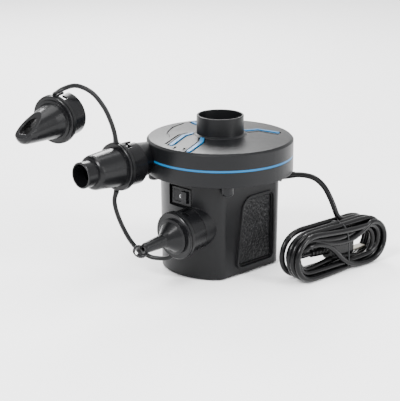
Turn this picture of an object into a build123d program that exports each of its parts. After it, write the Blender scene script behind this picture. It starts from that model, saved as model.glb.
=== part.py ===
from build123d import *

import math
import os

# Electric air pump with clip-on nozzle adaptors.
# Frame: origin on the motor axis at the floor, +Z up, -Y is the front (switch and
# storage post), the flat grip sides face +X and -X. Millimetres.

# ---- driving dimensions -------------------------------------------------------------
BODY_R = 44.8              # round front and back of the motor housing
BODY_FLAT = 32.6           # half width across the two flat sides
BODY_BLEND = 11.0          # corner radius between round and flat
BODY_WALL = 2.4
BODY_DRAFT = 0.7           # degrees, the housing narrows towards its base
BODY_BASE_Z = 1.0          # height of the housing's lower edge, standing on its feet
HEAD_Z = 74.2              # underside of the round head
HEAD_R = 55.0
HEAD_WALL = 2.2
HEAD_H = 25.2              # underside to the edge of the top
ROOF_RISE = 2.2            # extra height of the slightly conical top at the port
TRIM_Z = 86.5              # middle of the coloured trim line
TRIM_H = 1.7
PORT_RIM_Z = 116.0
FIT = 0.15                 # general clearance between seated pieces
RUN = 0.05                 # running clearance, shaft in bearing

TUBE_R = 14.2              # outlet tube and storage post, outside
TUBE_BORE_R = TUBE_R - 1.8
SLEEVE_GAP = 0.08          # adaptor sleeve over tube
SLEEVE_BORE_R = TUBE_R + SLEEVE_GAP
TIP_R = 9.7                # outside of the stepped adaptor's tip
SLEEVE_R = TUBE_R + 1.8    # adaptor sleeve, outside: drops into the inlet port
SLEEVE_LEN = 17.8
SLEEVE_STOP = 1.3          # tube end to the flange's front face
FLANGE_R = SLEEVE_R + 1.7
FLANGE_T = 1.7
RING_R = SLEEVE_R + 2.0    # tether ring, outside
RING_T = 2.2
RING_GAP = 0.3
STRAP_R = 1.7
PEG_R = 1.7                # bayonet peg
PEG_Z = 8.5                # peg centre behind the flange's front face
SLOT_W = 4.2
TWIST = 18.0               # degrees of bayonet travel

PORT_BORE_R = SLEEVE_R + 0.2
PORT_R = PORT_BORE_R + 1.5 # inlet port, outside

OUTLET_X = -30.0
OUTLET_Z = 85.0
STEPPED_Y = -(HEAD_R + 24.2)  # flange front of the adaptor on the outlet
NECK_START_Y = -(HEAD_R + 5.2)
NECK_END_Y = -(HEAD_R - 9.0)
NECK_END_Z = 86.6
NECK_END_R = 11.2
NECK_WALL = 1.7

POST_X = 13.0
POST_Z = 38.0
POST_TILT = 5.0            # degrees below level
NEEDLE_Y = -62.0           # flange front of the parked adaptor
POST_BOSS_R = SLEEVE_R

SLANT_POS = (-50.0, -119.7, 123.4)
SLANT_TURN = 11.0          # degrees away from the outlet's direction, towards +X
SLANT_DIP = 6.9            # degrees below level

SHAFT_R = 2.5
IMPELLER_R = 40.5
STATOR_Z = 26.0
STATOR_H = 22.0
STATOR_R = 29.5
STATOR_FLAT = 26.0
ARMATURE_R = 15.0
AIR_GAP = 0.4
POST_XY = (BODY_FLAT - 6.6, BODY_R - 22.8)  # the four long case screws
CASE_POST_R = 3.7
RIM_BOSS_R = HEAD_R - 5.3  # the bosses under the head's rim
RIM_BOSS_TURNS = (-130.0, -40.0, 95.0)
RIM_BOSS_WIDE = 4.4
SCREW_R = 1.5
SCREW_HEAD_R = 2.8
SCREW_HEAD_H = 1.8

CORD_R = 2.1
CORD_EXIT_TURN = 48.0      # degrees, where the cord leaves the housing
CORD_EXIT_Z = 68.4
HANK_LEN = 101.0
HANK_H = 38.0
HANK_T = 21.0
HANK_POS = (74.0, 46.0)
HANK_TURN = 87.0
HANK_BAND = 10.0           # height of the gap between the upper and lower turns
TIE_X = 3.5                # along the hank
TIE_W = 2.5
TIE_T = 1.3

SWITCH_X = 1.0
SWITCH_Z = 61.5
SWITCH_W = 17.4
SWITCH_H = 10.6
RECESS_X = (-9.8, 12.4)
RECESS_Z = 54.0
RECESS_Y = -40.8
PANEL_DEEP = 1.6           # pocket for the textured panel, below the flat side
PANEL_T = 1.1
BEAD_OUT = 0.8             # raised bead around the panel
PANEL_Y = (-13.0, 22.0)
PANEL_Z = (8.0, 57.0)

BASE_PLATE_Z = BODY_BASE_Z + 2.2
FOOT_XY = (18.0, 21.5)
FOOT_R = 4.5

ROCKER_W = 14.0
ROCKER_H = 8.4
ROCKER_AXIS_Y = RECESS_Y + 3.2
ROCKER_TILT = 14.0

RIB_W = 3.0
RIB_PROUD = 0.45
RIB_DEEP = 0.9
PORT_COLLAR_R = PORT_R + 2.3
ROOF_T = 3.0
GRILLE_R = PORT_BORE_R + 1.8
GRILLE_T = 2.0
GROOVE_W = 1.5
GROOVE_DEEP = 0.75

COMMUTATOR_R = 7.5
BRACKET_LOW_Z = 6.0
FAN_Z = STATOR_Z + STATOR_H + 7.0
IMPELLER_Z = HEAD_Z + HEAD_WALL + 4.2
BRACKET_HIGH_Z = FAN_Z + 6.2

BEARING_R = 6.5
STAY_TURN = math.radians(62.0)     # the motor screws' place round the stator

GLAND_NECK_R = 4.0
GLAND_LEN = 14.0
GLAND_COLLAR = 1.0         # how far the collar stands out round the neck
FIRST_RUN = 11.0

PLUG_LEN = 26.0
PLUG_W = 17.0
PLUG_T = 9.6
PLUG_X = -4.0              # where the plug's body starts, along the hank
PLUG_Y = 3.9               # middle of the plug, towards the hank's far side
PLUG_Z = 17.0              # its height in the hank
RELIEF_LEN = 17.0

os.makedirs("parts", exist_ok=True)
HEAD_TOP = HEAD_Z + HEAD_H
NODES = {}


def keep(name, shape):
    solids = shape.solids()
    NODES[name] = solids[0] if len(solids) == 1 else Compound(children=list(solids))


def tube(r_out, r_in, z0, z1):
    ring = Pos(0, 0, (z0 + z1) / 2) * Cylinder(r_out, z1 - z0)
    return ring - Pos(0, 0, (z0 + z1) / 2) * Cylinder(r_in, z1 - z0 + 1)


def rod(r, z0, z1, x=0.0, y=0.0):
    return Pos(x, y, (z0 + z1) / 2) * Cylinder(r, z1 - z0)


def block(x0, x1, y0, y1, z0, z1):
    middle = Pos((x0 + x1) / 2, (y0 + y1) / 2, (z0 + z1) / 2)
    return middle * Box(x1 - x0, y1 - y0, z1 - z0)


def turned(points):
    """A solid of revolution about Z from (radius, height) points."""
    outline = [(x, 0, z) for x, z in points]
    return revolve(make_face(Polyline(outline, close=True)), Axis.Z)


def body_outline(inset=0.0):
    """Plan of the housing: a circle with two flats and blended corners."""
    flat = BODY_FLAT - inset
    plan = Circle(BODY_R - inset) & Rectangle(2 * flat, 2 * BODY_R)
    return fillet(plan.vertices(), BODY_BLEND - inset)


def body_block(inset, z0, z1):
    """The housing's volume between two heights, drafted from the head downwards."""
    shift = (HEAD_Z - z1) * math.tan(math.radians(BODY_DRAFT))
    top = Pos(0, 0, z1) * body_outline(inset + shift)
    return extrude(top, amount=-(z1 - z0), dir=(0, 0, 1), taper=BODY_DRAFT)


# ---- places where adaptors sit; local +Z points out of the nozzle --------------------
def aimed(position, turn, dip):
    """A place whose +Z looks forward (-Y), turned towards +X and dipped below level."""
    return Pos(*position) * Rot(0, 0, turn) * Rot(90 + dip, 0, 0)


STEPPED_AT = aimed((OUTLET_X, STEPPED_Y, OUTLET_Z), 0, 0)
NEEDLE_AT = aimed((POST_X, NEEDLE_Y, POST_Z), 0, POST_TILT)
SLANT_AT = aimed(SLANT_POS, SLANT_TURN, SLANT_DIP)


def peg_on_tube(place):
    """Bayonet peg standing up from a tube's top."""
    upright = (Align.CENTER, Align.CENTER, Align.MIN)
    peg = Rot(-90, 0, 0) * Cylinder(PEG_R, SLEEVE_R - FIT, align=upright)
    return place * Pos(0, 0, -PEG_Z) * peg


# ---- motor housing ------------------------------------------------------------------


def panel_outline(grow=0.0):
    """Side panel: a leaning front edge and a large upper front corner (Y, Z)."""
    y0, y1 = PANEL_Y
    z0, z1 = PANEL_Z
    lean = 6.0
    face = make_face(Polyline((y0, z0), (y0 + lean, z1), (y1, z1), (y1, z0), close=True))
    near = face.vertices().sort_by_distance((y0 + lean, z1, 0))[0]
    rest = [v for v in face.vertices() if v != near]
    face = fillet(near, 8.0)
    face = fillet([face.vertices().sort_by_distance(v)[0] for v in rest], 2.5)
    return offset(face, amount=grow) if grow else face


def panel_block(side, grow, x_in, x_out):
    """The panel's outline as a block between two distances from the middle plane."""
    plane = Plane(origin=(side * x_in, 0, 0), x_dir=(0, 1, 0), z_dir=(1, 0, 0))
    return extrude(plane * panel_outline(grow), amount=side * (x_out - x_in))


def case_posts():
    return [(sx * POST_XY[0], sy * POST_XY[1]) for sx in (-1, 1) for sy in (-1, 1)]


def make_body():
    shell = body_block(0, BODY_BASE_Z, HEAD_Z)
    inside = body_block(BODY_WALL, BODY_BASE_Z - 5, HEAD_Z + 5)
    cavity = body_block(BODY_WALL, BODY_BASE_Z - 1, HEAD_Z)
    posts = [rod(CASE_POST_R, BASE_PLATE_Z, HEAD_Z, x, y) for x, y in case_posts()]
    floor_r = BODY_FLAT - PANEL_DEEP
    for side in (-1, 1):
        bead = panel_block(side, 3.0, floor_r - 2, BODY_FLAT + BEAD_OUT)
        bead -= panel_block(side, 1.5, floor_r - 4, BODY_FLAT + 3)
        shell += bead - inside
        shell -= panel_block(side, 0.0, floor_r, BODY_FLAT + 3)
        pad = panel_block(side, -FIT, floor_r, floor_r + PANEL_T)
        keep("grip_panel_left" if side < 0 else "grip_panel_right", pad)
    recess_wall = block(RECESS_X[0] - 2, RECESS_X[1] + 2, -50, RECESS_Y + 2.2, RECESS_Z - 2, HEAD_Z)
    boss = NEEDLE_AT * rod(POST_BOSS_R, -45, -SLEEVE_LEN - 0.3)
    stub = NEEDLE_AT * tube(TUBE_R, TUBE_BORE_R, -30, -SLEEVE_STOP)
    shell += recess_wall & body_block(0.01, 0, HEAD_Z)
    shell += (boss & block(-20, 40, -70, -30, 10, 60)) - inside
    shell -= cavity - recess_wall
    for post in posts:
        shell += post & body_block(BODY_WALL - 0.5, 0, HEAD_Z)
    shell += largest(stub - inside)
    shell -= NEEDLE_AT * tube(SLEEVE_R + 0.5, TUBE_R, -SLEEVE_LEN - 0.3, 0)
    shell += peg_on_tube(NEEDLE_AT) - NEEDLE_AT * rod(TUBE_BORE_R, -40, 0)
    shell -= block(RECESS_X[0], RECESS_X[1], -50, RECESS_Y, RECESS_Z, HEAD_Z + 1)
    half_w = SWITCH_W / 2 + FIT
    half_h = SWITCH_H / 2 + FIT
    shell -= block(SWITCH_X - half_w, SWITCH_X + half_w, -50, -30,
                   SWITCH_Z - half_h, SWITCH_Z + half_h)
    for x, y in case_posts():
        shell -= rod(SCREW_R + FIT, 0, HEAD_Z + 1, x, y)
    shell -= gland_place() * rod(GLAND_NECK_R + FIT, -3, 12)
    for slot in range(5):
        z = 22 + slot * 6
        shell -= block(-14, 14, 36, 60, z, z + 2.4)
    keep("motor_housing", shell)


def make_base():
    """Bottom cover with vent slots, five rubber feet and the long case screws."""
    plate = body_block(BODY_WALL + FIT, BODY_BASE_Z + 0.2, BASE_PLATE_Z)
    for x, y in case_posts():
        plate -= rod(SCREW_R + FIT, 0, 10, x, y)
        plate -= rod(SCREW_HEAD_R + FIT, 0, BODY_BASE_Z + 1.0, x, y)
    for row in (-4, -3, -2, 2, 3, 4):
        slot = Pos(0, row * 5.0, 0) * SlotOverall(26, 2.6)
        plate -= extrude(slot, amount=10)
    feet = [(sx * FOOT_XY[0], sy * FOOT_XY[1]) for sx in (-1, 1) for sy in (-1, 1)] + [(0, 0)]
    for x, y in feet:
        plate -= rod(FOOT_R + FIT, 0, BODY_BASE_Z + 1.2, x, y)
    keep("bottom_cover", plate)
    foot = rod(FOOT_R, 0, BODY_BASE_Z + 1.2)
    foot = chamfer(foot.faces().sort_by(Axis.Z)[0].edges(), 0.5)
    keep("rubber_feet", Compound(children=[Pos(x, y, 0) * foot for x, y in feet]))
    top = HEAD_Z + HEAD_WALL + 2.5
    screw = rod(SCREW_R, BODY_BASE_Z + 1.0, top) + rod(
        SCREW_HEAD_R, BODY_BASE_Z + 1.0 - 0.8, BODY_BASE_Z + 1.0)
    screw -= block(-1.8, 1.8, -0.35, 0.35, 0, BODY_BASE_Z + 0.6)
    keep("case_screws", Compound(children=[Pos(x, y, 0) * screw for x, y in case_posts()]))


# ---- rocker switch ------------------------------------------------------------------


def make_switch():
    """Snap-in switch housing and its rocker, which turns on an upright pin."""
    frame_front = RECESS_Y - 1.2
    case = block(SWITCH_X - SWITCH_W / 2, SWITCH_X + SWITCH_W / 2, frame_front, RECESS_Y + 14,
                 SWITCH_Z - SWITCH_H / 2, SWITCH_Z + SWITCH_H / 2)
    rim = block(SWITCH_X - SWITCH_W / 2 - 1, SWITCH_X + SWITCH_W / 2 + 1, frame_front, RECESS_Y,
                SWITCH_Z - SWITCH_H / 2 - 1, SWITCH_Z + SWITCH_H / 2 + 1)
    case += rim
    case -= block(SWITCH_X - ROCKER_W / 2 - 0.8, SWITCH_X + ROCKER_W / 2 + 0.8, frame_front - 1,
                  RECESS_Y + 10, SWITCH_Z - ROCKER_H / 2 - 0.3, SWITCH_Z + ROCKER_H / 2 + 0.3)
    pin = rod(0.8, SWITCH_Z - SWITCH_H / 2, SWITCH_Z + SWITCH_H / 2, SWITCH_X, ROCKER_AXIS_Y)
    case += pin
    for x in (-4.5, 4.5):
        case += block(SWITCH_X + x - 0.4, SWITCH_X + x + 0.4, RECESS_Y + 13, RECESS_Y + 19,
                      SWITCH_Z - 2.4, SWITCH_Z + 2.4)
    keep("switch_housing", case)
    half = ROCKER_W / 2
    reach = frame_front - ROCKER_AXIS_Y
    profile = Polyline((-half, 3.0), (-half, reach - 0.9), (0.6, reach + 0.9), (half - 5.6, reach + 0.7),
                       (half - 5.4, reach - 1.3), (half, reach - 0.7), (half, 3.0), (2.2, 4.4),
                       (-2.2, 4.4), close=True)
    paddle = extrude(make_face(profile), amount=ROCKER_H)
    paddle = Pos(0, 0, -ROCKER_H / 2) * paddle
    paddle -= Cylinder(0.8 + RUN, 20)
    tilt = Rot(0, 0, -ROCKER_TILT / 2)
    keep("rocker", Pos(SWITCH_X, ROCKER_AXIS_Y, SWITCH_Z) * tilt * paddle)


# ---- round head ---------------------------------------------------------------------
LIP_H = 4.0
SPLIT_LOW = TRIM_Z - TRIM_H / 2
SPLIT_HIGH = TRIM_Z + TRIM_H / 2


def neck(start_r, end_r, front_y, inner_y):
    """Outlet neck: a straight tube that narrows and rises into the head's wall."""
    forward = Plane(origin=(OUTLET_X, 0, OUTLET_Z), x_dir=(1, 0, 0), z_dir=(0, 1, 0))
    end_plane = Plane(origin=(OUTLET_X, 0, NECK_END_Z), x_dir=(1, 0, 0), z_dir=(0, 1, 0))
    pipe = extrude(forward.offset(front_y) * Circle(start_r), amount=NECK_START_Y - front_y)
    start_ring = forward.offset(NECK_START_Y) * Circle(start_r)
    end_ring = end_plane.offset(NECK_END_Y) * Circle(end_r)
    root = extrude(end_ring, amount=inner_y - NECK_END_Y)
    return pipe + loft([start_ring, end_ring]) + root


def neck_clearance():
    """Room for the neck in the trim ring and the upper shell."""
    return neck(TUBE_R + FIT, NECK_END_R + FIT, NECK_START_Y - 1, -12.0)


def rim_bosses():
    angles = [math.radians(turn) for turn in RIM_BOSS_TURNS]
    return [(RIM_BOSS_R * math.cos(a), RIM_BOSS_R * math.sin(a)) for a in angles]


def roof_z(radius):
    """Height of the conical top at a radius."""
    share = (HEAD_R - 1.5 - radius) / (HEAD_R - 1.5 - PORT_R)
    return HEAD_TOP + ROOF_RISE * share


def make_lower_head():
    dish = tube(HEAD_R, HEAD_R - HEAD_WALL, HEAD_Z, SPLIT_LOW)
    dish += rod(HEAD_R - 0.5, HEAD_Z, HEAD_Z + HEAD_WALL)
    dish = fillet(dish.edges().filter_by(GeomType.CIRCLE).sort_by(Axis.Z)[:1], 0.4)
    for x, y in rim_bosses():
        boss = rod(RIM_BOSS_WIDE, HEAD_Z - 7.0, HEAD_Z + 6.0, x, y)
        boss = fillet(boss.edges().sort_by(Axis.Z)[0], 2.0)
        dish += boss & rod(HEAD_R - 0.6, 0, 200)
    for x, y in case_posts():
        dish += rod(3.2, HEAD_Z, HEAD_Z + HEAD_WALL + 2.8, x, y)
    chamber = rod(HEAD_R - HEAD_WALL, HEAD_Z + HEAD_WALL, HEAD_TOP + 10)
    front_y = STEPPED_Y + SLEEVE_STOP
    dish += neck(TUBE_R, NECK_END_R, front_y, -22.0) - chamber
    dish -= neck(TUBE_BORE_R, NECK_END_R - NECK_WALL, front_y - 1, -12.0)
    for x, y in rim_bosses():
        dish -= rod(SCREW_R, HEAD_Z - 6, HEAD_Z + 20, x, y)
        dish -= rod(SCREW_HEAD_R + FIT, HEAD_Z - 8, HEAD_Z - 4.6, x, y)
    for x, y in case_posts():
        dish -= rod(SCREW_R, HEAD_Z - 1, HEAD_Z + HEAD_WALL + 2.5, x, y)
    dish -= rod(SHAFT_R + 3.5, HEAD_Z - 1, HEAD_Z + 5)
    dish += peg_on_tube(STEPPED_AT) - STEPPED_AT * rod(TUBE_BORE_R, -40, 0)
    keep("head_lower_shell", dish)


def make_rim_screws():
    shank = rod(SCREW_R, HEAD_Z - 4.6, HEAD_TOP - 4.2)
    screw = shank + rod(SCREW_HEAD_R, HEAD_Z - 4.6 - SCREW_HEAD_H, HEAD_Z - 4.6)
    screw -= block(-1.8, 1.8, -0.35, 0.35, 0, HEAD_Z - 5.6)
    keep("rim_screws", Compound(children=[Pos(x, y, 0) * screw for x, y in rim_bosses()]))


def make_trim():
    ring = tube(HEAD_R - 0.15, HEAD_R - HEAD_WALL - 0.4, SPLIT_LOW, SPLIT_HIGH)
    keep("trim_ring", ring - neck_clearance())


RIBS = {
    # coloured ribs let into the top: centre lines as (x, y), front to back
    "top_rib_1": [(-14.6, -14.0), (-15.6, -23.0), (-6.0, -45.0)],
    "top_rib_2": [(0.6, -19.6), (7.0, -27.0), (15.6, -49.0)],
    "top_rib_3": [(7.0, 19.4), (9.6, 31.0), (25.0, 36.3)],
    "top_rib_4": [(-44.5, 16.2), (-36.0, 12.2)],
}
GROOVES = [
    # dark lines in the top: beside the port and from the left rim towards the outlet
    [(-47.0, 8.0), (-43.6, -6.5), (-36.0, -18.6), (-31.0, -24.6), (-22.6, -31.6)],
    [(-19.6, -15.4), (-20.6, -23.4), (-11.2, -45.6)],
    [(12.6, 17.0), (14.8, 27.0), (29.6, 32.0)],
    [(8.0, -45.6), (11.6, -49.6)],
    [(2.0, -50.4), (0.6, -47.4)],
]


def roof_band(above, below):
    """The layer between two heights measured from the conical top."""
    edge = HEAD_R - 1.5
    return turned([(PORT_COLLAR_R, roof_z(PORT_COLLAR_R) + above), (edge, HEAD_TOP + above),
                   (edge, HEAD_TOP - below), (PORT_COLLAR_R, roof_z(PORT_COLLAR_R) - below)])


def strip(points, width, z0, z1):
    """An upright ribbon of constant width along a bent line."""
    line = Polyline([(x, y) for x, y in points])
    face = offset(line, amount=width / 2, side=Side.BOTH)
    face = make_face(face) if not face.faces() else face.faces()[0]
    return extrude(Pos(0, 0, z0) * face, amount=z1 - z0)


def make_upper_head():
    edge = HEAD_R - 1.5
    inner_r = HEAD_R - HEAD_WALL
    lip_r = inner_r - 0.5
    lid = turned([
        (HEAD_R, SPLIT_HIGH), (HEAD_R, HEAD_TOP - 1.5), (edge, HEAD_TOP),
        (PORT_COLLAR_R, roof_z(PORT_COLLAR_R)), (PORT_COLLAR_R, HEAD_TOP - ROOF_T),
        (inner_r, HEAD_TOP - ROOF_T), (inner_r, SPLIT_HIGH)])
    lid += tube(lip_r, lip_r - 1.6, SPLIT_LOW - LIP_H, HEAD_TOP - ROOF_T + 0.4)
    for x, y in rim_bosses():
        lid += rod(3.6, HEAD_Z + 6.0, HEAD_TOP - ROOF_T + 0.4, x, y) & rod(lip_r, 0, 200)
    lid -= neck_clearance()
    for x, y in rim_bosses():
        lid -= rod(SCREW_R, HEAD_Z, HEAD_TOP - 4.0, x, y)
    for points in GROOVES:
        lid -= strip(points, GROOVE_W, HEAD_TOP - 3, HEAD_TOP + 9) & roof_band(5, GROOVE_DEEP)
    for points in RIBS.values():
        lid -= strip(points, RIB_W + 2 * GROOVE_W, HEAD_TOP - 3, HEAD_TOP + 9) & roof_band(5, GROOVE_DEEP)
    layer = roof_band(5, RIB_DEEP)
    solid_layer = roof_band(RIB_PROUD, RIB_DEEP)
    for name, points in RIBS.items():
        lid -= strip(points, RIB_W + 0.02, HEAD_TOP - 3, HEAD_TOP + 9) & layer
        rib = strip(points, RIB_W, HEAD_TOP - 3, HEAD_TOP + 9) & solid_layer
        keep(name, rib)
    keep("head_upper_shell", lid)


def make_port():
    """Upright inlet socket in the middle of the top, with a bayonet peg in its bore."""
    foot = HEAD_TOP - ROOF_T
    collar = roof_z(PORT_COLLAR_R) + 0.9
    socket = turned([
        (PORT_COLLAR_R, foot), (PORT_COLLAR_R, collar - 0.9), (PORT_R + 0.6, collar), (PORT_R, collar),
        (PORT_R, PORT_RIM_Z - 0.4), (PORT_R - 0.4, PORT_RIM_Z), (PORT_BORE_R + 0.3, PORT_RIM_Z),
        (PORT_BORE_R, PORT_RIM_Z - 0.3), (PORT_BORE_R, foot + GRILLE_T + 0.2),
        (GRILLE_R, foot + GRILLE_T + 0.2), (GRILLE_R, foot)])
    keep("inlet_port", socket)


def make_grille():
    """Guard across the inlet, seated below the socket's bore: a rim, a ring and three bars."""
    z0 = HEAD_TOP - ROOF_T
    z1 = z0 + GRILLE_T
    guard = tube(GRILLE_R - FIT, PORT_BORE_R + 0.2, z0, z1)
    guard += tube(9.6, 8.4, z0, z1) + rod(3.0, z0, z1)
    reach = PORT_BORE_R + 1.0
    spoke = block(-reach, reach, -0.6, 0.6, z0, z1)
    for turn in (0, 60, 120):
        guard += Rot(0, 0, turn) * spoke
    keep("inlet_grille", guard)


# ---- rotating group -----------------------------------------------------------------


def make_rotor():
    keep("motor_shaft", rod(SHAFT_R, 7.0, IMPELLER_Z + 15.0))
    core = tube(ARMATURE_R - AIR_GAP, SHAFT_R, STATOR_Z, STATOR_Z + STATOR_H)
    slot = block(ARMATURE_R - 4.5, ARMATURE_R, -0.9, 0.9, STATOR_Z - 1, STATOR_Z + STATOR_H + 1)
    for k in range(12):
        core -= Rot(0, 0, 30 * k) * slot
    keep("armature_core", core)
    ends = []
    for z0, z1 in ((STATOR_Z - 5.0, STATOR_Z), (STATOR_Z + STATOR_H, STATOR_Z + STATOR_H + 5.0)):
        ends.append(tube(ARMATURE_R - 2.0, SHAFT_R, z0, z1))
    keep("armature_windings", Compound(children=ends))
    bars = tube(COMMUTATOR_R, SHAFT_R, 12.6, STATOR_Z - 5.0)
    for k in range(12):
        bars -= Rot(0, 0, 15 + 30 * k) * block(COMMUTATOR_R - 0.6, COMMUTATOR_R + 1, -0.2, 0.2, 12, 30)
    keep("commutator", bars)
    fan = tube(22.0, SHAFT_R, FAN_Z, FAN_Z + 1.0) + tube(5.0, SHAFT_R, FAN_Z, FAN_Z + 4.6)
    for k in range(10):
        fan += Rot(0, 0, 36 * k) * block(8, 22, -0.6, 0.6, FAN_Z, FAN_Z + 4.6)
    keep("cooling_fan", fan)
    wheel = tube(IMPELLER_R, SHAFT_R, IMPELLER_Z, IMPELLER_Z + 1.4)
    wheel += tube(6.5, SHAFT_R, IMPELLER_Z, IMPELLER_Z + 9.0)
    vane_ring = tube(62, 60.8, IMPELLER_Z, IMPELLER_Z + 11.0)
    reach = tube(IMPELLER_R, 12.0, IMPELLER_Z - 1, IMPELLER_Z + 12)
    half = block(0, 80, -80, 80, -200, 200)
    for k in range(9):
        vane = (Pos(0, -55, 0) * vane_ring) & reach & half
        wheel += Rot(0, 0, 40 * k) * vane.solids()[0]
    keep("impeller", wheel)
    nut_plan = RegularPolygon(4.4, 6)
    nut = Pos(0, 0, IMPELLER_Z + 9.0) * extrude(nut_plan, amount=3.6)
    keep("impeller_nut", nut - rod(SHAFT_R, 0, 200))


def bracket(z0, z1, opening_r):
    """A bulkhead across the housing that carries a bearing."""
    plate = body_block(BODY_WALL + 0.4, z0, z1)
    for x, y in case_posts():
        plate -= rod(CASE_POST_R + FIT, z0 - 1, z1 + 1, x, y)
    plate -= rod(BEARING_R, z0 - 1, z1 + 1)
    if z1 > RECESS_Z:
        plate -= block(RECESS_X[0] - 3, RECESS_X[1] + 3, -60, RECESS_Y + 20.5, z0 - 1, z1 + 1)
    for k in range(6):
        a = math.radians(30 + 60 * k)
        plate -= rod(opening_r, z0 - 1, z1 + 1, 18 * math.cos(a), 18 * math.sin(a))
    return plate


def make_motor_frame():
    stay_r = STATOR_R + SCREW_R + 0.5
    sx, sy = stay_r * math.cos(STAY_TURN), stay_r * math.sin(STAY_TURN)
    places = [(i * sx, j * sy) for i in (-1, 1) for j in (-1, 1)]
    low = bracket(BRACKET_LOW_Z, BRACKET_LOW_Z + 3.0, 5.0)
    high = bracket(BRACKET_HIGH_Z, BRACKET_HIGH_Z + 3.0, 5.0)
    bearing_low = tube(BEARING_R, SHAFT_R + RUN, BRACKET_LOW_Z, BRACKET_LOW_Z + 5.0)
    bearing_high = tube(BEARING_R, SHAFT_R + RUN, BRACKET_HIGH_Z - 1.0, BRACKET_HIGH_Z + 3.0)
    keep("lower_bearing", bearing_low)
    keep("upper_bearing", bearing_high)
    stator = rod(STATOR_R, STATOR_Z, STATOR_Z + STATOR_H)
    stator &= block(-STATOR_FLAT, STATOR_FLAT, -STATOR_R, STATOR_R, 0, 100)
    stator -= rod(ARMATURE_R, 0, 100)
    for side in (-1, 1):
        window = block(13.0, 20.0, -12, 12, 0, 100)
        stator -= window if side > 0 else mirror(window, Plane.YZ)
    keep("stator_core", stator)
    coils = []
    for side in (-1, 1):
        for z0, z1 in ((STATOR_Z - 7, STATOR_Z), (STATOR_Z + STATOR_H, STATOR_Z + STATOR_H + 6)):
            arc = tube(26.0, 17.5, z0, z1)
            y0, y1 = sorted((side * 7.0, side * 30))
            coils.append(arc & block(-24, 24, y0, y1, 0, 100))
    keep("field_coils", Compound(children=coils))
    for x, y in places:
        low -= rod(SCREW_R, 0, 100, x, y)
        high -= rod(SCREW_R, 0, 100, x, y)
    keep("lower_motor_bracket", low)
    keep("upper_motor_bracket", high)
    stay = rod(SCREW_R, BRACKET_LOW_Z - 1.2, BRACKET_HIGH_Z + 3.0)
    stay += rod(SCREW_HEAD_R, BRACKET_HIGH_Z + 3.0, BRACKET_HIGH_Z + 3.0 + SCREW_HEAD_H)
    keep("motor_screws", Compound(children=[Pos(x, y, 0) * stay for x, y in places]))
    holders = []
    brushes = []
    springs = []
    for side in (-1, 1):
        box = block(9.0, 21.0, -3.6, 3.6, 12.6, 20.4) - block(8, 20.0, -2.55, 2.55, 13.95, 19.05)
        brush = block(COMMUTATOR_R + 0.2, 15.5, -2.5, 2.5, 14.0, 19.0)
        spring = rod(2.2, 15.5, 20.0).moved(Location((0, 0, 16.5), (0, 90, 0)))
        foot = block(12.0, 18.0, -3.6, 3.6, BRACKET_LOW_Z + 3.0, 12.6)
        flip = Rot(0, 0, 0 if side > 0 else 180)
        holders.append(flip * (box + foot))
        brushes.append(flip * brush)
        springs.append(flip * spring)
    keep("brush_holders", Compound(children=holders))
    keep("carbon_brushes", Compound(children=brushes))
    keep("brush_springs", Compound(children=springs))


# ---- nozzle adaptors ----------------------------------------------------------------


def adaptor(outer, inner):
    """Sleeve, flange and nozzle turned as one piece; outer and inner run to the tip."""
    back = [(SLEEVE_BORE_R, -1.0), (SLEEVE_BORE_R, -SLEEVE_LEN), (SLEEVE_R, -SLEEVE_LEN),
            (SLEEVE_R, -FLANGE_T), (FLANGE_R, -FLANGE_T), (FLANGE_R, -0.5), (FLANGE_R - 0.5, 0)]
    piece = turned(back + outer + inner + [(inner[-1][0], -1.0)])
    half = math.radians(TWIST)
    groove = block(-SLOT_W / 2, SLOT_W / 2, 10, 20, -SLEEVE_LEN - 1, -PEG_Z + SLOT_W / 2)
    leg_low, leg_high = -PEG_Z - SLOT_W / 2, -PEG_Z + SLOT_W / 2
    reach = SLEEVE_R * math.tan(half) + SLOT_W / 2
    leg = block(0, reach, 10, 20, leg_low, leg_high)
    return piece - groove - leg


def stepped_nozzle():
    cone_len, tip_end = 22.3, 33.0
    outer = [(14.7, 0), (12.9, cone_len - 1), (12.3, cone_len + 0.6), (11.2, cone_len + 1.5),
             (TIP_R, cone_len + 1.9), (TIP_R, tip_end - 0.4), (TIP_R - 0.4, tip_end)]
    inner = [(8.4, tip_end), (8.4, cone_len), (11.2, cone_len - 1.5), (13.0, 0.0)]
    return adaptor(outer, inner)


def slant_nozzle():
    """A cone cut off at a slant, so that its mouth faces up and forward, with a thick lower lip."""
    outer = [(15.2, 0), (15.2, 0.9), (13.2, 1.2), (11.6, 8.0), (10.0, 17.0), (8.2, 27.0), (7.0, 32.5),
             (5.8, 35.0), (3.6, 36.4), (0.0, 36.8)]
    inner = [(0.0, 33.0), (3.2, 32.6), (4.6, 31.0), (6.0, 25.0), (7.6, 15.0), (9.6, 6.0), (12.4, 0.0)]
    beyond = (Align.CENTER, Align.MIN, Align.CENTER)
    cutter = Pos(0, 10.6, 13.5) * Rot(26, 0, 0) * Box(60, 40, 90, align=beyond)
    nose = adaptor(outer, inner) - cutter
    mouth = nose.edges().filter_by(lambda e: e.geom_type != GeomType.CIRCLE and e.center().Z > 11)
    return fillet(mouth, 0.6)


def needle_nozzle():
    tip_end = 30.5
    outer = [(13.4, 0), (13.4, 1.8), (11.4, 2.4), (6.6, 8.6), (5.0, 11.5), (3.9, tip_end - 2.0),
             (3.2, tip_end)]
    inner = [(1.6, tip_end), (2.0, tip_end - 2.0), (3.2, 12.0), (4.6, 8.4), (9.6, 2.0), (12.4, 0.0)]
    nozzle = adaptor(outer, inner)
    place = Pos(0, -0.8, 33.6) * Rot(0, 0, -35) * Rot(-90, 0, 0)
    loop = fillet(Cylinder(5.4, 3.4).edges(), 1.2)
    loop -= Cylinder(3.4, 8)
    return nozzle + (place * loop - rod(2.2, 0, 60))


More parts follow.
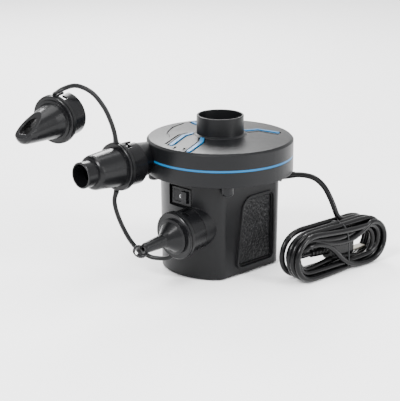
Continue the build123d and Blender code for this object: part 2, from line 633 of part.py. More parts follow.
def tether_ring(place):
    low = -FLANGE_T - RING_GAP - RING_T
    return place * tube(RING_R, SLEEVE_R + 0.3, low, low + RING_T)


def bend_radii(points):
    """The largest tangent arcs that the runs on each side of a corner allow."""
    vectors = [Vector(*b) - Vector(*a) for a, b in zip(points, points[1:])]
    radii = []
    for first, second in zip(vectors, vectors[1:]):
        half_turn = math.radians(first.get_angle(second)) / 2
        radii.append(0.45 * min(first.length, second.length) / math.tan(half_turn))
    return radii


def strand(points, radius):
    """A round strand along straight runs joined by tangent arcs."""
    radii = bend_radii(points)
    path = FilletPolyline(*points, radius=radii)
    start = Plane(origin=path @ 0, z_dir=path % 0)
    print("radii", [round(r, 1) for r in radii], "length", round(path.length, 1))
    return sweep(start * Circle(radius), path=path)


UPPER_STRAP = [(-30.6, -77.2, 102.4), (-31.0, -78.0, 109.4), (-32.3, -80.2, 118.5),
               (-34.8, -84.6, 129.9), (-38.6, -92.3, 141.0), (-43.8, -101.8, 147.6),
               (-48.2, -109.9, 145.6), (-50.8, -114.9, 140.9)]
LOWER_STRAP = [(-31.6, -76.4, 67.8), (-33.2, -77.3, 57.5), (-30.2, -76.0, 45.5), (-23.6, -73.0, 31.6),
               (-15.8, -69.3, 21.6), (-6.0, -64.6, 17.3), (3.5, -60.3, 18.4), (8.0, -58.6, 21.0)]
LOWER_SPLIT = 4            # the strap's halves meet in the middle of this run


def make_adaptors():
    keep("stepped_adaptor", STEPPED_AT * stepped_nozzle())
    keep("slant_adaptor", SLANT_AT * slant_nozzle())
    keep("needle_adaptor", NEEDLE_AT * needle_nozzle())
    keep("tether_ring_outlet", tether_ring(STEPPED_AT))
    keep("tether_ring_slant", tether_ring(SLANT_AT))
    keep("tether_ring_needle", tether_ring(NEEDLE_AT))
    around_outlet = STEPPED_AT * rod(RING_R, -12, 8)
    around_slant = SLANT_AT * rod(RING_R, -12, 8)
    upper = strand(UPPER_STRAP, STRAP_R) - around_outlet - around_slant
    meet = tuple((Vector(*LOWER_STRAP[LOWER_SPLIT]) + Vector(*LOWER_STRAP[LOWER_SPLIT + 1])) / 2)
    front = strand(LOWER_STRAP[:LOWER_SPLIT + 1] + [meet], STRAP_R) - STEPPED_AT * rod(RING_R + RING_GAP, -12, 8)
    back = strand([meet] + LOWER_STRAP[LOWER_SPLIT + 1:], STRAP_R) - NEEDLE_AT * rod(RING_R + RING_GAP, -12, 8)
    keep("upper_strap", largest(upper))
    keep("lower_strap_front", largest(front))
    keep("lower_strap_back", largest(back))


def largest(shape):
    return shape.solids().sort_by(SortBy.VOLUME)[-1]


# ---- mains cord ---------------------------------------------------------------------
CORD_ROUTE = [(56.5, 53.6, 62.6), (65.8, 53.4, 50.8), (70.1, 55.4, HANK_H)]


def gland_place():
    """Where the cord leaves: local +Z points out of the housing."""
    turn = math.radians(CORD_EXIT_TURN)
    wall = BODY_R - 2.0
    position = (wall * math.cos(turn), wall * math.sin(turn), CORD_EXIT_Z)
    return Pos(*position) * Rot(0, 0, CORD_EXIT_TURN) * Rot(0, 90, 0)


def make_cord():
    place = gland_place()
    gland = turned([(0, -0.4), (GLAND_NECK_R, -0.4), (GLAND_NECK_R, 2.2), (GLAND_NECK_R + GLAND_COLLAR, 2.2),
                    (GLAND_NECK_R + GLAND_COLLAR, 3.6), (GLAND_NECK_R - 0.5, 4.4), (CORD_R + 0.3, GLAND_LEN),
                    (0, GLAND_LEN)])
    keep("cord_gland", place * gland)
    tip = place * Pos(0, 0, GLAND_LEN)
    ahead = place * Pos(0, 0, GLAND_LEN + FIRST_RUN)
    points = [tuple(tip.position), tuple(ahead.position)] + CORD_ROUTE
    cord = strand(points, CORD_R)
    length = FilletPolyline(*points, radius=bend_radii(points)).length
    print("cord volume / section x length", cord.volume / (math.pi * CORD_R ** 2 * length))
    keep("power_cord", cord)
    make_hank()


def hank_place():
    return Pos(HANK_POS[0], HANK_POS[1], 0) * Rot(0, 0, HANK_TURN)


def make_hank():
    """Outer shape of the tied hank, its tie and the plug tucked into its far side.
    Locally X runs along the hank, -Y is the side away from the pump."""
    loop = extrude(Plane.XZ * SlotOverall(HANK_LEN, HANK_H), amount=HANK_T / 2, both=True)
    loop = fillet(loop.edges().filter_by(lambda e: e.length > 10), 6.0)
    loop = Pos(0, 0, HANK_H / 2) * loop
    middle = HANK_H / 2
    inside = HANK_LEN / 2 - 24
    loop -= block(-inside, inside, -HANK_T, HANK_T, middle - HANK_BAND / 2, middle + HANK_BAND / 2)
    half_w = PLUG_W / 2 + 0.5
    loop -= block(-inside, PLUG_X + PLUG_LEN + 17, PLUG_Y - PLUG_T / 2 - 0.5, HANK_T,
                  PLUG_Z - half_w, PLUG_Z + half_w)
    wide = block(TIE_X, TIE_X + TIE_W, -HANK_T / 2 - 1, HANK_T / 2 + 1, -1, HANK_H + 1)
    core = block(TIE_X - 1, TIE_X + TIE_W + 1, -HANK_T / 2 + TIE_T, HANK_T / 2 - TIE_T, TIE_T, HANK_H - TIE_T)
    core = fillet(core.edges().filter_by(Axis.X), 5.0)
    shape = extrude(Plane.YZ.offset(TIE_X) * RectangleRounded(HANK_T, HANK_H, 6.0), amount=TIE_W)
    band = Pos(0, 0, HANK_H / 2) * shape - core
    loop -= wide - core
    keep("cord_hank", hank_place() * loop)
    keep("hank_tie", hank_place() * band)
    make_plug()


def make_plug():
    """Two-pin plug with a ribbed strain relief, pins pointing along the hank."""
    body = block(PLUG_X, PLUG_X + PLUG_LEN, -PLUG_T / 2, PLUG_T / 2, -PLUG_W / 2, PLUG_W / 2)
    body = fillet(body.edges().filter_by(Axis.X), 3.0)
    body = chamfer(body.faces().sort_by(Axis.X)[0].edges(), 1.6)
    relief = [(0, 0), (CORD_R + 0.6, 0), (4.2, RELIEF_LEN), (0, RELIEF_LEN)]
    body += Pos(PLUG_X - RELIEF_LEN, 0, 0) * Rot(0, 90, 0) * turned(relief)
    for k in range(5):
        groove_x = PLUG_X - RELIEF_LEN + 2.0 + 3.0 * k
        body -= Pos(groove_x, 0, 0) * Rot(0, 90, 0) * tube(6, 2.4 + 0.22 * k, 0, 1.3)
    body += Pos(PLUG_X - RELIEF_LEN, 0, 0) * Rot(0, 90, 0) * rod(CORD_R, 0, RELIEF_LEN)
    pins = []
    for z in (-6.35, 6.35):
        front = PLUG_X + PLUG_LEN
        pins.append(block(front, front + 15.8, -3.15, 3.15, z - 0.75, z + 0.75))
    place = hank_place() * Pos(0, PLUG_Y, PLUG_Z)
    keep("plug_body", place * body)
    keep("plug_pins", place * Compound(children=pins))


def main():
    make_body()
    make_base()
    make_switch()
    make_lower_head()
    make_rim_screws()
    make_trim()
    make_upper_head()
    make_port()
    make_grille()
    make_rotor()
    make_motor_frame()
    make_adaptors()
    make_cord()
    for name, shape in NODES.items():
        export_step(shape, f"parts/{name}.step")


main()
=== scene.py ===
import math

import bpy
from mathutils import Matrix, Vector, noise


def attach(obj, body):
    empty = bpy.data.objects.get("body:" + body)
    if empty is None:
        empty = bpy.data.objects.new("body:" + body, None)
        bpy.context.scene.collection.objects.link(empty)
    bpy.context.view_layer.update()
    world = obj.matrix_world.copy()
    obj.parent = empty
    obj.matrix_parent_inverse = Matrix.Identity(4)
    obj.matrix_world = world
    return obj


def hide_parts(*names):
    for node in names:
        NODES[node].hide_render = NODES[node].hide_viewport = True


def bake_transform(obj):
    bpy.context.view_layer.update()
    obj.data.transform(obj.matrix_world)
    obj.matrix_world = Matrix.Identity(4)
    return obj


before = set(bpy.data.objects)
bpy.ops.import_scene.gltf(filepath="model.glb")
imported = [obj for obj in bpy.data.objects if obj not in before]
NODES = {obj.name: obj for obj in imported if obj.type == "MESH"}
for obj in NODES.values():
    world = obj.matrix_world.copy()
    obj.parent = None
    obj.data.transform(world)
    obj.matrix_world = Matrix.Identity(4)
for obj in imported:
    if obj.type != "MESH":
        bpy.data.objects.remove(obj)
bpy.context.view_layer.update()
MM = 0.001


# ---- camera, at the photograph's angle ------------------------------------------------
def add_camera():
    data = bpy.data.cameras.new("camera")
    data.lens = 130.7
    data.sensor_width = 36.0
    camera = bpy.data.objects.new("camera", data)
    forward = Vector((-0.6717, 0.6835, -0.2857))
    camera.location = (0.7301, -0.7644, 0.3642)
    camera.rotation_mode = "QUATERNION"
    camera.rotation_quaternion = forward.to_track_quat("-Z", "Y")
    bpy.context.scene.collection.objects.link(camera)
    bpy.context.scene.camera = camera


add_camera()


# ---- materials ------------------------------------------------------------------------
PATCHY = 0.12               # how far the colour drifts, as a share of itself
PLASTIC_SHINE = 0.16
METAL_SHINE = 0.5
GRAIN_DEPTH = 0.00035       # metres


def link_math(tree, operation, first, second, clamp=False):
    node = tree.nodes.new("ShaderNodeMath")
    node.operation = operation
    node.use_clamp = clamp
    for socket, value in zip(node.inputs, (first, second)):
        if isinstance(value, (int, float)):
            socket.default_value = value
        else:
            tree.links.new(value, socket)
    return node.outputs[0]


def noise_out(tree, coords, scale, detail=3.0, rough=0.5):
    node = tree.nodes.new("ShaderNodeTexNoise")
    node.inputs["Scale"].default_value = scale
    node.inputs["Detail"].default_value = detail
    node.inputs["Roughness"].default_value = rough
    tree.links.new(coords, node.inputs["Vector"])
    return node.outputs["Fac"]


def spread(tree, value, low, high):
    node = tree.nodes.new("ShaderNodeMapRange")
    node.inputs["From Min"].default_value = 0.3
    node.inputs["From Max"].default_value = 0.7
    node.inputs["To Min"].default_value = low
    node.inputs["To Max"].default_value = high
    tree.links.new(value, node.inputs["Value"])
    return node.outputs["Result"]


def surface(name, colour, rough, grain, bump, round_mm, metal=0.0, edge=0.05, stretch=(1.0, 1.0, 1.0)):
    """A moulded or turned surface: fine grain, patchy gloss, softened edges that are lightened, partly as
    scuffing and partly as a painted highlight.
    """
    material = bpy.data.materials.new(name)
    material.use_nodes = True
    tree = material.node_tree
    tree.nodes.clear()
    out = tree.nodes.new("ShaderNodeOutputMaterial")
    shader = tree.nodes.new("ShaderNodeBsdfPrincipled")
    tree.links.new(shader.outputs[0], out.inputs[0])
    place = tree.nodes.new("ShaderNodeTexCoord")
    mapping = tree.nodes.new("ShaderNodeMapping")
    mapping.inputs["Scale"].default_value = stretch
    tree.links.new(place.outputs["Object"], mapping.inputs["Vector"])
    coords = mapping.outputs["Vector"]
    fine = noise_out(tree, coords, grain, 2.0)
    broad = noise_out(tree, coords, 38.0, 4.0, 0.6)
    smear = noise_out(tree, coords, 140.0, 5.0, 0.7)
    bevel = tree.nodes.new("ShaderNodeBevel")
    bevel.samples = 4
    bevel.inputs["Radius"].default_value = round_mm * MM
    geometry = tree.nodes.new("ShaderNodeNewGeometry")
    dot = tree.nodes.new("ShaderNodeVectorMath")
    dot.operation = "DOT_PRODUCT"
    tree.links.new(bevel.outputs[0], dot.inputs[0])
    tree.links.new(geometry.outputs["Normal"], dot.inputs[1])
    # edge mask for lightening the colour: partly real scuffing, partly a painted highlight where edges catch
    # the light
    bent = link_math(tree, "SUBTRACT", 1.0, dot.outputs["Value"], True)
    patch = link_math(tree, "MULTIPLY", bent, smear, True)
    edge_scuff_and_highlight = link_math(tree, "MULTIPLY", patch, 10.0 * edge, True)
    tone = tree.nodes.new("ShaderNodeMix")
    tone.data_type = "RGBA"
    dark = [c * (1.0 - PATCHY) for c in colour]
    light = [min(1.0, c * (1.0 + PATCHY) + 0.0008) for c in colour]
    tone.inputs["A"].default_value = (*dark, 1.0)
    tone.inputs["B"].default_value = (*light, 1.0)
    tree.links.new(broad, tone.inputs["Factor"])
    scuffed_and_highlit_mix = tree.nodes.new("ShaderNodeMix")
    scuffed_and_highlit_mix.data_type = "RGBA"
    # lighter edge colour: scuffing plus a painted edge highlight
    scuffed_and_highlit_colour = [min(1.0, c * 2.0 + 0.012) for c in colour]
    scuffed_and_highlit_mix.inputs["B"].default_value = (*scuffed_and_highlit_colour, 1.0)
    tree.links.new(edge_scuff_and_highlight, scuffed_and_highlit_mix.inputs["Factor"])
    tree.links.new(tone.outputs["Result"], scuffed_and_highlit_mix.inputs["A"])
    tree.links.new(scuffed_and_highlit_mix.outputs["Result"], shader.inputs["Base Color"])
    gloss = spread(tree, smear, rough - 0.02, rough + 0.03)
    tree.links.new(gloss, shader.inputs["Roughness"])
    shader.inputs["Metallic"].default_value = metal
    shader.inputs["Specular IOR Level"].default_value = METAL_SHINE if metal else PLASTIC_SHINE
    relief = tree.nodes.new("ShaderNodeBump")
    relief.inputs["Strength"].default_value = bump
    relief.inputs["Distance"].default_value = GRAIN_DEPTH
    tree.links.new(fine, relief.inputs["Height"])
    tree.links.new(bevel.outputs[0], relief.inputs["Normal"])
    tree.links.new(relief.outputs[0], shader.inputs["Normal"])
    return material


MATERIALS = {
    "housing": surface("housing", (0.0030, 0.0031, 0.0036), 0.36, 1500.0, 0.15, 0.5),
    "head": surface("head", (0.0034, 0.0036, 0.0042), 0.36, 1700.0, 0.16, 0.5),
    "accent": surface("accent", (0.004, 0.090, 0.215), 0.34, 1500.0, 0.10, 0.25),
    "grip": surface("grip", (0.0034, 0.0035, 0.0040), 0.38, 2600.0, 0.20, 0.10),
    "nozzle": surface("nozzle", (0.0034, 0.0035, 0.0040), 0.24, 1300.0, 0.04, 0.4),
    "strap": surface("strap", (0.0042, 0.0044, 0.0048), 0.30, 1500.0, 0.05, 0.3),
    "switch": surface("switch", (0.0060, 0.0062, 0.0070), 0.27, 1400.0, 0.05, 0.25),
    "cord": surface("cord", (0.0022, 0.0022, 0.0025), 0.24, 900.0, 0.07, 0.2),
    "tie": surface("tie", (0.0120, 0.0125, 0.0130), 0.33, 1200.0, 0.12, 0.15),
    "feet": surface("feet", (0.025, 0.025, 0.026), 0.66, 1300.0, 0.35, 0.3),
    "steel": surface("steel", (0.52, 0.53, 0.54), 0.28, 900.0, 0.15, 0.15, 1.0),
    "core": surface("core", (0.20, 0.20, 0.21), 0.45, 3000.0, 0.30, 0.1, 1.0, 0.1, (0.1, 0.1, 6.0)),
    "copper": surface("copper", (0.58, 0.24, 0.10), 0.36, 2500.0, 0.30, 0.1, 1.0, 0.1, (1, 1, 3)),
    "inner": surface("inner", (0.035, 0.036, 0.038), 0.46, 1300.0, 0.20, 0.4),
    "carbon": surface("carbon", (0.03, 0.03, 0.032), 0.55, 2000.0, 0.30, 0.2),
    "pins": surface("pins", (0.42, 0.40, 0.34), 0.32, 1200.0, 0.10, 0.2, 1.0),
    "marks": surface("marks", (0.55, 0.56, 0.58), 0.40, 1200.0, 0.05, 0.05),
}

USED_FOR = {
    "housing": ["motor_housing", "bottom_cover"],
    "head": ["head_upper_shell", "head_lower_shell", "inlet_port", "inlet_grille"],
    "accent": ["trim_ring", "top_rib_1", "top_rib_2", "top_rib_3", "top_rib_4"],
    "nozzle": ["stepped_adaptor", "slant_adaptor", "needle_adaptor"],
    "strap": ["tether_ring_outlet", "tether_ring_slant", "tether_ring_needle"],
    "switch": ["switch_housing", "rocker"],
    "cord": ["cord_gland"],
    "feet": ["rubber_feet"],
    "steel": ["case_screws", "rim_screws", "motor_screws", "motor_shaft", "impeller_nut", "brush_springs"],
    "core": ["stator_core", "armature_core"],
    "copper": ["field_coils", "armature_windings", "commutator", "brush_holders"],
    "inner": ["impeller", "cooling_fan", "lower_motor_bracket", "upper_motor_bracket", "lower_bearing",
              "upper_bearing"],
    "carbon": ["carbon_brushes"],
    "pins": ["plug_pins"],
}


def paint(piece, material):
    piece.data.materials.clear()
    piece.data.materials.append(MATERIALS[material])


for material_name, node_names in USED_FOR.items():
    for node_name in node_names:
        paint(NODES[node_name], material_name)
for node in NODES.values():
    for polygon in node.data.polygons:
        polygon.material_index = 0


# ---- mesh helpers; points in millimetres in the shared frame ---------------------------
def mesh_piece(name, points, faces, material, body, smooth=True):
    mesh = bpy.data.meshes.new(name)
    mesh.from_pydata([Vector(p) * MM for p in points], [], faces)
    mesh.validate()
    mesh.update()
    piece = bpy.data.objects.new(name, mesh)
    bpy.context.scene.collection.objects.link(piece)
    for polygon in mesh.polygons:
        polygon.use_smooth = smooth
    paint(piece, material)
    if body:
        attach(piece, body)
    return piece


def smooth_line(points, per_run=12):
    """Points on a Catmull-Rom curve through the given ones, each a tuple of any length."""
    ends = [tuple(2 * a - b for a, b in zip(points[0], points[1]))]
    ends += list(points)
    ends.append(tuple(2 * a - b for a, b in zip(points[-1], points[-2])))
    line = []
    for i in range(1, len(ends) - 2):
        for k in range(per_run):
            t = k / per_run
            values = []
            for p0, p1, p2, p3 in zip(ends[i - 1], ends[i], ends[i + 1], ends[i + 2]):
                a = 2 * p1 + (p2 - p0) * t + (2 * p0 - 5 * p1 + 4 * p2 - p3) * t * t
                values.append(0.5 * (a + (3 * p1 - p0 - 3 * p2 + p3) * t ** 3))
            line.append(tuple(values))
    line.append(tuple(points[-1]))
    return line


def swept(name, line, wide, material, body, sides=20, up=(0, 0, 1)):
    """A strand along line; wide gives (half width, half thickness) at each share of the way."""
    centre = [Vector(p[:3]) for p in line]
    count = len(centre)
    tangents = []
    for i in range(count):
        tangents.append((centre[min(i + 1, count - 1)] - centre[max(i - 1, 0)]).normalized())
    side = tangents[0].cross(Vector(up)).normalized()
    points = []
    for i, tangent in enumerate(tangents):
        side = (side - tangent * side.dot(tangent)).normalized()
        across = tangent.cross(side)
        a, b = wide(i / (count - 1))
        for k in range(sides):
            turn = 2 * math.pi * k / sides
            points.append(centre[i] + side * (a * math.cos(turn)) + across * (b * math.sin(turn)))
    faces = []
    for i in range(count - 1):
        for k in range(sides):
            n = (k + 1) % sides
            faces.append((i * sides + k, i * sides + n, (i + 1) * sides + n, (i + 1) * sides + k))
    faces.append(tuple(reversed(range(sides))))
    faces.append(tuple((count - 1) * sides + k for k in range(sides)))
    return mesh_piece(name, points, faces, material, body)


def lathe(name, profile, place, material, body, sides=48):
    """A turned piece from (radius, height) points about a place's +Z, open profile ends on the axis."""
    points = []
    for radius, height in profile:
        for k in range(sides):
            turn = 2 * math.pi * k / sides
            points.append(place @ Vector((radius * math.cos(turn), radius * math.sin(turn), height)))
    faces = []
    for i in range(len(profile) - 1):
        for k in range(sides):
            n = (k + 1) % sides
            faces.append((i * sides + k, i * sides + n, (i + 1) * sides + n, (i + 1) * sides + k))
    faces.append(tuple(reversed(range(sides))))
    faces.append(tuple((len(profile) - 1) * sides + k for k in range(sides)))
    return mesh_piece(name, points, faces, material, body)


# ---- mains cord: one curve from the gland to the plug ---------------------------------
CORD_R = 2.1
HANK_TURN = math.radians(87.0)
HANK_POS = (74.0, 46.0)
CENTRE_Z = 19.0
SHORTER, LOWER_BY = 0.932, 0.918    # from the table of turns to the hank's true length and height
LEAD = [(38.02, 42.18, 68.4), (45.38, 50.36, 68.4), (56.5, 53.6, 62.6), (65.8, 53.4, 50.8)]
PLUG_X, PLUG_Y, PLUG_Z = -4.0, 3.9, 17.0
RELIEF_LEN = 17.0
PLUG_ROW = 18.33                    # the plug's height in the table of turns
CORD_END = -20.4                    # the cord's end inside the strain relief, along the table of turns


def hank(x, y, z):
    """A point given along, across and up the hank."""
    c, s = math.cos(HANK_TURN), math.sin(HANK_TURN)
    return Vector((HANK_POS[0] + x * c - y * s, HANK_POS[1] + x * s + y * c, z))


def fold(side, reach, top, bottom, y0, y1, upward):
    """Half a turn round one end of the hank between two heights, from y0 to y1 across it."""
    radius = (top - bottom) / 2
    middle = (top + bottom) / 2
    points = []
    for k in range(7):
        a = math.radians(-90 + 30 * k if upward else 90 - 30 * k)
        x = side * (reach - radius + radius * math.cos(a) * 1.03)
        points.append((x, y0 + (y1 - y0) * k / 6, middle + radius * math.sin(a)))
    return points


def hank_route():
    """Right folds go down and left folds go up, so the lower strands run to the left."""
    # for each turn: points of its upper run, its right fold (reach, top, bottom, y, y), points of its
    # lower run, then its left fold; all in the table's own size, scaled on the last line
    far, near = 8.3, -8.4
    turns = [
        ([(10.6, 4.3, 38.8), (25.0, 4.2, 38.8)], (47.6, 38.8, 2.1, 4.2, 6.0),
         [(20.0, 6.5, 2.1), (-22.0, 8.2, 2.1)], (50.0, 38.8, 2.1, far, far)),
        ([(-22.0, far, 38.8), (21.0, far, 38.8)], (48.4, 38.8, 2.1, far, far),
         [(14.0, 7.0, 4.4), (-4.0, 4.4, 6.4)], (47.0, 34.5, 6.4, 4.2, 4.0)),
        ([(-10.0, 2.0, 34.4), (12.0, -1.0, 34.4)], (47.4, 34.5, 6.4, -0.2, -0.2), [(10.0, -0.2, 5.0)],
         (51.0, 38.8, 2.1, 0.0, 0.0)),
        ([(-23.0, 0.0, 38.8), (23.0, 0.0, 38.8)], (50.6, 38.8, 2.1, 0.0, -1.6), [(8.0, -3.2, 2.1)],
         (51.9, 38.8, 2.1, -4.2, -4.2)),
        ([(-16.0, -4.2, 38.6), (4.0, -4.2, 38.4)], (51.9, 38.8, 2.1, -4.2, -4.2),
         [(16.0, -5.2, 2.1), (-6.0, -7.4, 2.1)], (51.0, 38.6, 2.1, near, near)),
        ([(-14.0, near, 36.4), (6.0, near, 34.6), (24.0, near, 34.0)], (46.6, 33.6, 7.4, -7.0, -5.6),
         [(18.0, -5.0, 6.6), (-2.0, -5.4, 6.5)], (47.2, 34.2, 6.4, -5.4, -4.8)),
        ([(-18.0, -6.8, 31.8), (-4.0, near, 30.4), (10.0, -7.0, 30.2), (22.0, -4.8, 30.9)],
         (42.4, 31.6, 6.4, -4.2, -4.4), [(20.0, -1.0, 8.6), (0.0, 0.0, 10.8), (-22.0, -1.6, 9.2)],
         (44.4, 34.4, 8.4, -2.0, -4.6)),
        ([(-18.0, -7.6, 29.2), (-4.0, near, 26.2), (9.0, near, 25.6), (20.0, near, 28.4),
          (29.0, near, 32.4)], (52.4, 36.4, 2.1, near, near), [(22.0, near, 2.6)], None),
    ]
    points = []
    for upper, right, lower, left in turns:
        points += upper + fold(1, *right, False) + lower
        if left:
            points += fold(-1, *left, True)
    # the end: up to the left inside the hank, then half a turn into the plug
    points += [(14.0, -8.2, 4.4), (6.0, -7.9, 8.4), (-1.0, -7.9, 14.0), (-7.5, -7.9, 20.6),
               (-15.0, -7.8, 26.4), (-24.0, -7.2, 29.4), (-32.0, -6.6, 29.8), (-35.85, -5.9, 29.0),
               (-38.7, -4.0, 26.95), (-39.7, -1.35, 24.1), (-38.7, 1.3, 21.25), (-35.85, 3.2, 19.2),
               (-32.0, PLUG_Y, 18.4), (-26.5, PLUG_Y, PLUG_ROW), (CORD_END, PLUG_Y, PLUG_ROW)]
    return [hank(x * SHORTER, y, CORD_R + (z - CORD_R) * LOWER_BY) for x, y, z in points]


def power_cord():
    curve = bpy.data.curves.new("cord", "CURVE")
    curve.dimensions = "3D"
    curve.bevel_depth = CORD_R * MM
    curve.bevel_resolution = 6
    curve.resolution_u = 6
    curve.use_fill_caps = True
    spline = curve.splines.new("NURBS")
    points = [Vector(p) for p in LEAD] + hank_route()
    spline.points.add(len(points) - 1)
    for target, point in zip(spline.points, points):
        target.co = (*(point * MM), 1.0)
    spline.order_u = 3
    spline.use_endpoint_u = True
    spline.use_smooth = True
    piece = bpy.data.objects.new("mains_cord", curve)
    bpy.context.scene.collection.objects.link(piece)
    paint(piece, "cord")
    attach(piece, "pump")
    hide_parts("power_cord", "cord_hank")
    return piece


def plug_parts():
    """Ribbed strain relief of the plug, tucked into the hank."""
    along = hank(1, 0, 0) - hank(0, 0, 0)
    across = hank(0, 1, 0) - hank(0, 0, 0)
    start = hank(PLUG_X - RELIEF_LEN, PLUG_Y, PLUG_Z)
    # local +Z along the hank
    basis = Matrix((Vector((0, 0, 1)), across, along)).transposed().to_4x4()
    place = Matrix.Translation(start) @ basis
    profile = [(CORD_R - 0.6, 0.6), (CORD_R + 0.1, 0.2), (2.9, 0.0), (3.0, 0.3)]
    for k in range(5):
        z, r = 0.6 + 3.2 * k, 3.1 + 0.26 * k
        profile += [(r, z), (r, z + 1.7), (r - 0.15, z + 1.85), (r - 0.9, z + 1.95), (r - 0.9, z + 2.95),
                    (r + 0.05, z + 3.05)]
    profile += [(4.4, RELIEF_LEN - 0.3), (4.4, RELIEF_LEN + 0.6), (0.6, RELIEF_LEN + 0.6)]
    relief = lathe("plug_strain_relief", profile, place, "cord", "pump")
    return relief


TIE_HALF = (10.0, 18.4)             # across and up
TIE_SQUARE = 0.62                   # 1 is an ellipse, less is squarer
TIE_ALONG, TIE_LEAN = 6.4, 2.6
TIE_WIRE = (0.55, 0.45)             # half width, half thickness


def wire_tie():
    """Thin wire tie round the hank, leaning a little along it."""
    ring = []
    for k in range(49):
        a = 2 * math.pi * k / 48
        y = TIE_HALF[0] * math.copysign(abs(math.cos(a)) ** TIE_SQUARE, math.cos(a))
        z = CENTRE_Z + TIE_HALF[1] * math.copysign(abs(math.sin(a)) ** TIE_SQUARE, math.sin(a))
        ring.append(hank(TIE_ALONG - TIE_LEAN * math.sin(a), y, z))
    band = swept("hank_wire_tie", ring, lambda t: TIE_WIRE, "tie", "pump", 12, (1, 0, 0))
    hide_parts("hank_tie")
    return band


cord = power_cord()
relief = plug_parts()
tie = wire_tie()
paint(NODES["plug_body"], "cord")


# ---- grip panels with a pebbled face --------------------------------------------------
PANEL = dict(y0=-13.0, y1=22.0, z0=8.0, z1=57.0, lean=6.0, big=8.0, small=2.5, gap=0.15)
PANEL_FACE = 31.0          # floor of the pocket, from the middle plane
PANEL_THICK = 1.1


def panel_distance(y, z):
    """How far inside the panel's outline a point lies."""
    p = PANEL
    lean = (y - p["y0"]) * (p["z1"] - p["z0"]) - (z - p["z0"]) * p["lean"]
    edges = [lean / math.hypot(p["lean"], p["z1"] - p["z0"]), p["y1"] - y, z - p["z0"], p["z1"] - z]
    edges = [e - p["gap"] for e in edges]
    distance = min(edges)
    for a, b, radius in ((0, 3, p["big"]), (0, 2, p["small"]), (1, 2, p["small"]), (1, 3, p["small"])):
        if edges[a] < radius and edges[b] < radius:
            distance = min(distance, radius - math.hypot(radius - edges[a], radius - edges[b]))
    return distance


def pebble(y, z, seed):
    """Height of the pebbled grain, 0 to 1: rounded cells of mixed size with narrow valleys."""
    place = Vector((y * 0.36, z * 0.36, seed))
    distances = noise.voronoi(place)[0]
    valley = distances[1] - distances[0]
    dome = min(1.0, valley / 0.42)
    return dome * (2 - dome) * (0.8 + 0.2 * noise.noise(place * 2.3))


def grip_panel(side):
    step = 0.45
    columns = int((PANEL["y1"] - PANEL["y0"]) / step) + 1
    rows = int((PANEL["z1"] - PANEL["z0"]) / step) + 1
    index, points, faces = {}, [], []
    for i in range(columns + 1):
        for j in range(rows + 1):
            y, z = PANEL["y0"] + i * step, PANEL["z0"] + j * step
            inside = panel_distance(y, z)
            if inside < -0.02:
                continue
            border = min(1.0, max(0.0, inside / 1.1))
            height = PANEL_THICK - 0.80 + 0.78 * border * pebble(y, z, 3.0 + side)
            index[i, j] = len(points)
            points.append((side * (PANEL_FACE + height), y, z))
    for (i, j) in list(index):
        corners = [(i, j), (i + 1, j), (i + 1, j + 1), (i, j + 1)]
        if all(c in index for c in corners):
            face = [index[c] for c in corners]
            faces.append(tuple(face if side > 0 else reversed(face)))
    piece = mesh_piece("grip_pebbles_left" if side < 0 else "grip_pebbles_right", points, faces, "grip", None)
    solid = piece.modifiers.new("skirt", "SOLIDIFY")
    solid.thickness = 0.4 * MM
    solid.offset = -1.0
    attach(piece, "pump")
    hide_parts("grip_panel_left" if side < 0 else "grip_panel_right")


grip_panel(1)
grip_panel(-1)


# ---- tether straps that flare into their rings ----------------------------------------
UPPER = [(-30.6, -77.2, 102.4), (-31.0, -78.0, 109.4), (-32.3, -80.2, 118.5), (-34.8, -84.6, 129.9),
         (-38.6, -92.3, 141.0), (-43.8, -101.8, 146.7), (-48.2, -109.9, 145.4), (-49.73, -118.45, 141.98)]
LOWER = [(-31.6, -76.6, 66.4), (-33.2, -77.3, 57.5), (-30.2, -76.0, 45.5), (-23.6, -73.0, 31.6),
         (-15.8, -69.3, 21.6), (-10.9, -66.95, 19.45), (-6.0, -64.6, 17.8), (3.5, -60.3, 18.4),
         (8.0, -58.6, 21.6)]
STRAP = 1.7
LOWER_MEET = 5              # the lower strap's halves meet at this point


def strap_width(flare_start, flare_end):
    def wide(t):
        grow = max(0.0, 1 - t / 0.16) ** 2 * flare_start + max(0.0, 1 - (1 - t) / 0.16) ** 2 * flare_end
        return STRAP + grow, STRAP - 0.22 * grow
    return wide


def straps():
    upper = swept("upper_tether_strap", smooth_line(UPPER), strap_width(1.3, 1.3), "strap", "tether", 20,
                  (0, 1, 0))
    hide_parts("upper_strap")
    line = smooth_line(LOWER)
    middle = min(range(len(line)), key=lambda i: (Vector(line[i]) - Vector(LOWER[LOWER_MEET])).length)
    for name, node, part, flares in (("lower_tether_front", "lower_strap_front", line[:middle + 1], (1.0, 0)),
                                     ("lower_tether_back", "lower_strap_back", line[middle:], (0, 1.0))):
        piece = swept(name, part, strap_width(*flares), "strap", None, 20, (0, 1, 0))
        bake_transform(piece)
        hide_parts(node)


straps()


# ---- switch marks ---------------------------------------------------------------------
ROCKER_AXIS = Vector((1.0, -37.6, 61.5))
ROCKER_LEAN = -7.0          # degrees, as the rocker stands at rest


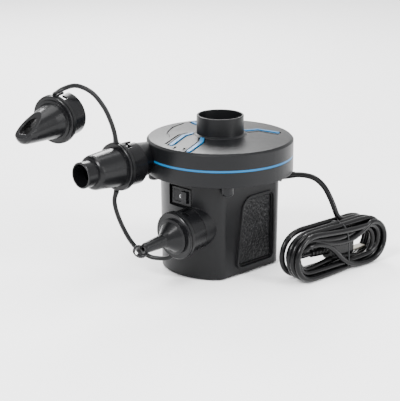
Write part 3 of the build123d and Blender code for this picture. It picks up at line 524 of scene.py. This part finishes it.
def switch_marks():
    """I and O in raised print on the rocker, in its own leaning frame."""
    turn = Matrix.Rotation(math.radians(ROCKER_LEAN), 4, "Z")
    place = Matrix.Translation(ROCKER_AXIS) @ turn
    bar, ring = [], []
    for x in (-3.8, -3.3):
        for z in (-1.1, 1.1):
            bar += [(x, -4.06, z), (x, -4.36, z)]
    points = [place @ Vector(p) for p in bar]
    faces = [(1, 3, 7, 5), (0, 4, 6, 2), (0, 1, 5, 4), (2, 6, 7, 3), (0, 2, 3, 1), (4, 5, 7, 6)]
    mark = mesh_piece("switch_mark_on", points, faces, "marks", "rocker", False)
    sides = 24
    for radius in (1.25, 0.85):
        for y in (-4.60, -4.95):
            for k in range(sides):
                a = 2 * math.pi * k / sides
                ring.append(place @ Vector((0.2 + radius * math.cos(a), y, radius * math.sin(a))))
    faces = []
    for k in range(sides):
        n = (k + 1) % sides
        rims = [i * sides for i in range(4)]
        for first, second in ((1, 0), (0, 2), (2, 3), (3, 1)):
            faces.append((rims[first] + k, rims[first] + n, rims[second] + n, rims[second] + k))
    mark = mesh_piece("switch_mark_off", ring, faces, "marks", "rocker", False)


switch_marks()


# ---- floor and light ------------------------------------------------------------------
def add_stage():
    mesh = bpy.data.meshes.new("floor")
    reach = 6.0
    mesh.from_pydata([(-reach, -reach, 0), (reach, -reach, 0), (reach, reach, 0), (-reach, reach, 0)], [],
                     [(0, 1, 2, 3)])
    floor = bpy.data.objects.new("floor", mesh)
    floor.location.z = -0.0002
    bpy.context.scene.collection.objects.link(floor)
    material = bpy.data.materials.new("floor")
    material.use_nodes = True
    shader = material.node_tree.nodes["Principled BSDF"]
    shader.inputs["Base Color"].default_value = (0.93, 0.93, 0.935, 1)
    shader.inputs["Roughness"].default_value = 0.8
    mesh.materials.append(material)


def area_light(name, location, target, size, power, colour=(1, 1, 1), height=None):
    data = bpy.data.lights.new(name, "AREA")
    data.shape = "RECTANGLE"
    data.size = size
    data.size_y = height or size
    data.energy = power
    data.color = colour
    light = bpy.data.objects.new(name, data)
    light.location = location
    light.rotation_mode = "QUATERNION"
    light.rotation_quaternion = (Vector(target) - Vector(location)).to_track_quat("-Z", "Y")
    bpy.context.scene.collection.objects.link(light)


def add_lights():
    world = bpy.data.worlds.new("studio")
    world.use_nodes = True
    background = world.node_tree.nodes["Background"]
    background.inputs["Color"].default_value = (1.0, 1.0, 1.0, 1)
    background.inputs["Strength"].default_value = 1.5
    bpy.context.scene.world = world
    area_light("key", (0.15, -1.1, 1.0), (0, 0, 0.06), 0.45, 34.0)
    area_light("side", (1.15, 0.25, 0.55), (0, 0, 0.06), 0.30, 22.0, (1, 1, 1), 0.9)
    area_light("top", (-0.1, 0.1, 1.3), (0, 0, 0.08), 0.9, 14.0)
    area_light("rim", (-0.9, 0.6, 0.8), (0, 0, 0.08), 0.5, 18.0)


add_stage()
add_lights()
